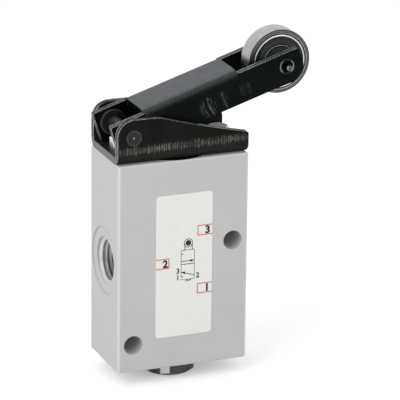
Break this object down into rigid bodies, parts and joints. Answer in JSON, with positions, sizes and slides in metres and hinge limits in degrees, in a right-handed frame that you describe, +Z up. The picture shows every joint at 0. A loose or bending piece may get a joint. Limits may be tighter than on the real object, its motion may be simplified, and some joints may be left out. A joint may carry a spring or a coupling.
{
  "type": "pneumatic poppet valve",
  "caption": "Upright three-port pneumatic poppet valve in a rectangular aluminium body, with a bent sheet bracket on top and a sprung lever that ends in a ball bearing roller.",
  "frame": {"origin": "centre of the bottom plug's lower face, on the valve's axis", "axes": "+Z up along the plunger and poppet, +X towards the supply and exhaust ports and the roller, +Y to the back, away from the label"},
  "size_m": [0.0603, 0.0219, 0.0962],
  "materials": {
    "cast_aluminium": "light grey satin painted aluminium",
    "black_sheet": "worn black oxide sheet",
    "black_steel": "black oxide steel",
    "zinc_steel": "zinc plated",
    "ground_steel": "ground bearing steel",
    "stainless": "turned stainless",
    "brass": "turned brass",
    "spring_steel": "spring wire",
    "rubber": "nitrile rubber",
    "seal_rubber": "bearing shield rubber",
    "cage_plastic": "natural nylon",
    "label_film": "matt printed film"
  },
  "bodies": {
    "valve": {"valve_body": "cast_aluminium", "bottom_plug": "black_steel", "plug_seal": "rubber", "guide_bush": "brass", "bush_seal": "rubber", "rod_seal": "rubber", "bracket": "black_sheet", "bracket_screws": "zinc_steel", "pivot_pin": "black_steel", "pivot_rings": "black_steel", "label": "label_film", "poppet_spring": "spring_steel", "plunger_spring": "spring_steel"},
    "lever": {"lever_arm": "black_sheet", "roller_axle": "black_steel", "axle_spacers": "black_steel", "bearing_inner_ring": "ground_steel"},
    "roller": {"bearing_outer_ring": "ground_steel", "bearing_seal_front": "seal_rubber", "bearing_seal_rear": "seal_rubber"},
    "ball_set": {"bearing_balls": "ground_steel", "bearing_cage": "cage_plastic"},
    "plunger_unit": {"plunger": "stainless", "plunger_seal": "rubber"},
    "poppet_unit": {"poppet": "brass", "poppet_seal": "rubber"}
  },
  "joints": [
    {"name": "lever_press", "type": "hinge", "parent": "valve", "child": "lever", "pos_m": [-0.0145, 0, 0.072], "axis": [0, 1, 0], "range_deg": [0, 12], "stiffness_Nm_per_rad": 1, "springref_deg": -20.05},
    {"name": "roller_spin", "type": "hinge", "parent": "lever", "child": "roller", "pos_m": [0.03112, 0, 0.0871], "axis": [0, 1, 0], "continuous": true},
    {"name": "cage_spin", "type": "hinge", "parent": "lever", "child": "ball_set", "pos_m": [0.03112, 0, 0.0871], "axis": [0, 1, 0], "continuous": true},
    {"name": "plunger_travel", "type": "slide", "parent": "valve", "child": "plunger_unit", "axis": [0, 0, -1], "range_m": [0, 0.0032], "deforming": ["plunger_spring"]},
    {"name": "poppet_travel", "type": "slide", "parent": "valve", "child": "poppet_unit", "axis": [0, 0, -1], "range_m": [0, 0.0022], "deforming": ["poppet_spring"]}
  ],
  "couplings": [
    {"joint": "cage_spin", "follows": "roller_spin", "ratio": 0.6282},
    {"joint": "plunger_travel", "follows": "lever_press", "m_per_rad": 0.0152},
    {"joint": "poppet_travel", "follows": "lever_press", "m_per_rad": 0.0105}
  ]
}
